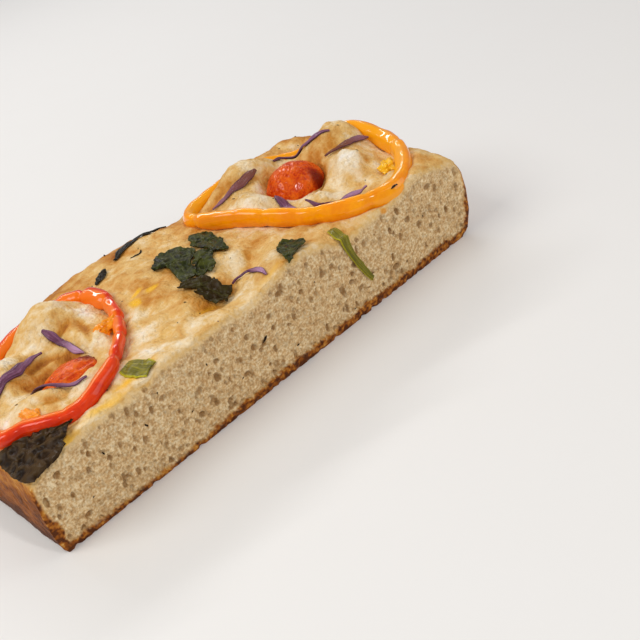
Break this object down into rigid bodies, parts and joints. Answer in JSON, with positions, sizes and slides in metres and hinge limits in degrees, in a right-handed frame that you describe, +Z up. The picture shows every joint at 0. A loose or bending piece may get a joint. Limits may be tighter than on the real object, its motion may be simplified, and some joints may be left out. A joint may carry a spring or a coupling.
{
  "type": "focaccia half",
  "caption": "Half of a rectangular pan focaccia, cut lengthwise, with bell pepper rings, cherry tomatoes, onion, leek and herb leaves baked into its puffed top crust.",
  "frame": {"origin": "middle of the bottom crust: halfway along the cut face and halfway from it to the back crust, on the plane it rests on", "axes": "+X along the cut face to the end with the orange ring, +Y from the cut face to the back crust, +Z up"},
  "size_m": [0.1851, 0.0893, 0.043],
  "materials": {
    "bread": "matte crust and crumb",
    "red_pepper": "glossy skin",
    "orange_pepper": "glossy skin",
    "tomato": "wrinkled, moist",
    "onion": "satin",
    "leek": "satin",
    "parsley": "satin, oily",
    "dried_herb": "satin, wrinkled"
  },
  "bodies": {
    "root": {"bread": "bread", "pepper_ring_red": "red_pepper", "pepper_ring_orange": "orange_pepper", "tomato_left": "tomato", "tomato_right": "tomato", "onion_left_back": "onion", "onion_left_side": "onion", "onion_left_front": "onion", "onion_middle": "onion", "onion_right_back": "onion", "onion_right_side": "onion", "onion_right_left": "onion", "onion_right_front": "onion", "onion_right_inner": "onion", "leek_slice": "leek", "leek_strip": "leek", "herb_stem_back": "dried_herb", "herb_curl_back": "dried_herb", "parsley_upper": "parsley", "parsley_middle": "parsley", "parsley_lower": "parsley", "parsley_small": "parsley", "basil_leaf": "dried_herb"}
  },
  "joints": []
}
